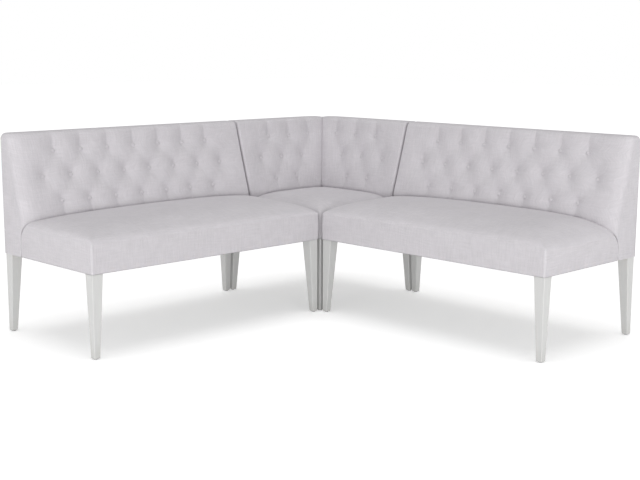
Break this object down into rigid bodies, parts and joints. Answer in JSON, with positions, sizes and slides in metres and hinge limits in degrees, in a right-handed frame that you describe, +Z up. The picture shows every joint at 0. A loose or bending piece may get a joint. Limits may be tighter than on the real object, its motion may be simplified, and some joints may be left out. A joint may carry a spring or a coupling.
{
  "type": "corner banquette sofa",
  "caption": "L-shaped corner banquette of separate padded modules with diamond-tufted buttoned backs, smooth crowned seats and tapered square legs.",
  "frame": {"origin": "centre of the square footprint, on the floor", "axes": "+Z up; the rear corner is at -X +Y; the right bench runs along +X and the left bench along -Y from it"},
  "size_m": [2.032, 2.032, 0.914],
  "materials": {
    "upholstery": "fine pale grey weave",
    "leg_paint": "off-white satin paint",
    "frame_wood": "bare sawn hardwood",
    "foam": "open-cell foam",
    "webbing": "woven elastic webbing",
    "steel": "zinc plated",
    "dust_cloth": "pale grey non-woven cloth",
    "glide": "moulded nylon"
  },
  "bodies": {
    "corner": {"corner_back_boards": "frame_wood", "corner_back_buttons": "upholstery", "corner_back_posts": "frame_wood", "corner_back_top_rails": "frame_wood", "corner_connector_forks": "steel", "corner_corner_blocks": "frame_wood", "corner_dust_cover": "dust_cloth", "corner_foot_glides": "glide", "corner_left_back_cover": "upholstery", "corner_left_back_foam": "foam", "corner_leg_bolts": "steel", "corner_legs": "leg_paint", "corner_outside_backs": "upholstery", "corner_right_back_cover": "upholstery", "corner_right_back_foam": "foam", "corner_seat_cover": "upholstery", "corner_seat_foam": "foam", "corner_seat_rails": "frame_wood", "corner_seat_webbing": "webbing"},
    "left_bench": {"left_bench_back_board": "frame_wood", "left_bench_back_buttons": "upholstery", "left_bench_back_cover": "upholstery", "left_bench_back_foam": "foam", "left_bench_back_posts": "frame_wood", "left_bench_back_top_rail": "frame_wood", "left_bench_connector_pin": "steel", "left_bench_corner_blocks": "frame_wood", "left_bench_dust_cover": "dust_cloth", "left_bench_end_rails": "frame_wood", "left_bench_foot_glides": "glide", "left_bench_front_legs": "leg_paint", "left_bench_front_rail": "frame_wood", "left_bench_leg_bolts": "steel", "left_bench_outside_back": "upholstery", "left_bench_rear_legs": "leg_paint", "left_bench_rear_rail": "frame_wood", "left_bench_seat_cover": "upholstery", "left_bench_seat_foam": "foam", "left_bench_seat_webbing": "webbing"},
    "right_bench": {"right_bench_back_board": "frame_wood", "right_bench_back_buttons": "upholstery", "right_bench_back_cover": "upholstery", "right_bench_back_foam": "foam", "right_bench_back_posts": "frame_wood", "right_bench_back_top_rail": "frame_wood", "right_bench_connector_pin": "steel", "right_bench_corner_blocks": "frame_wood", "right_bench_dust_cover": "dust_cloth", "right_bench_end_rails": "frame_wood", "right_bench_foot_glides": "glide", "right_bench_front_legs": "leg_paint", "right_bench_front_rail": "frame_wood", "right_bench_leg_bolts": "steel", "right_bench_outside_back": "upholstery", "right_bench_rear_legs": "leg_paint", "right_bench_rear_rail": "frame_wood", "right_bench_seat_cover": "upholstery", "right_bench_seat_foam": "foam", "right_bench_seat_webbing": "webbing"}
  },
  "joints": [
    {"name": "left_bench_slide", "type": "slide", "parent": "corner", "child": "left_bench", "axis": [0, -1, 0], "range_m": [0, 0.4]},
    {"name": "right_bench_slide", "type": "slide", "parent": "corner", "child": "right_bench", "axis": [1, 0, 0], "range_m": [0, 0.4]}
  ]
}
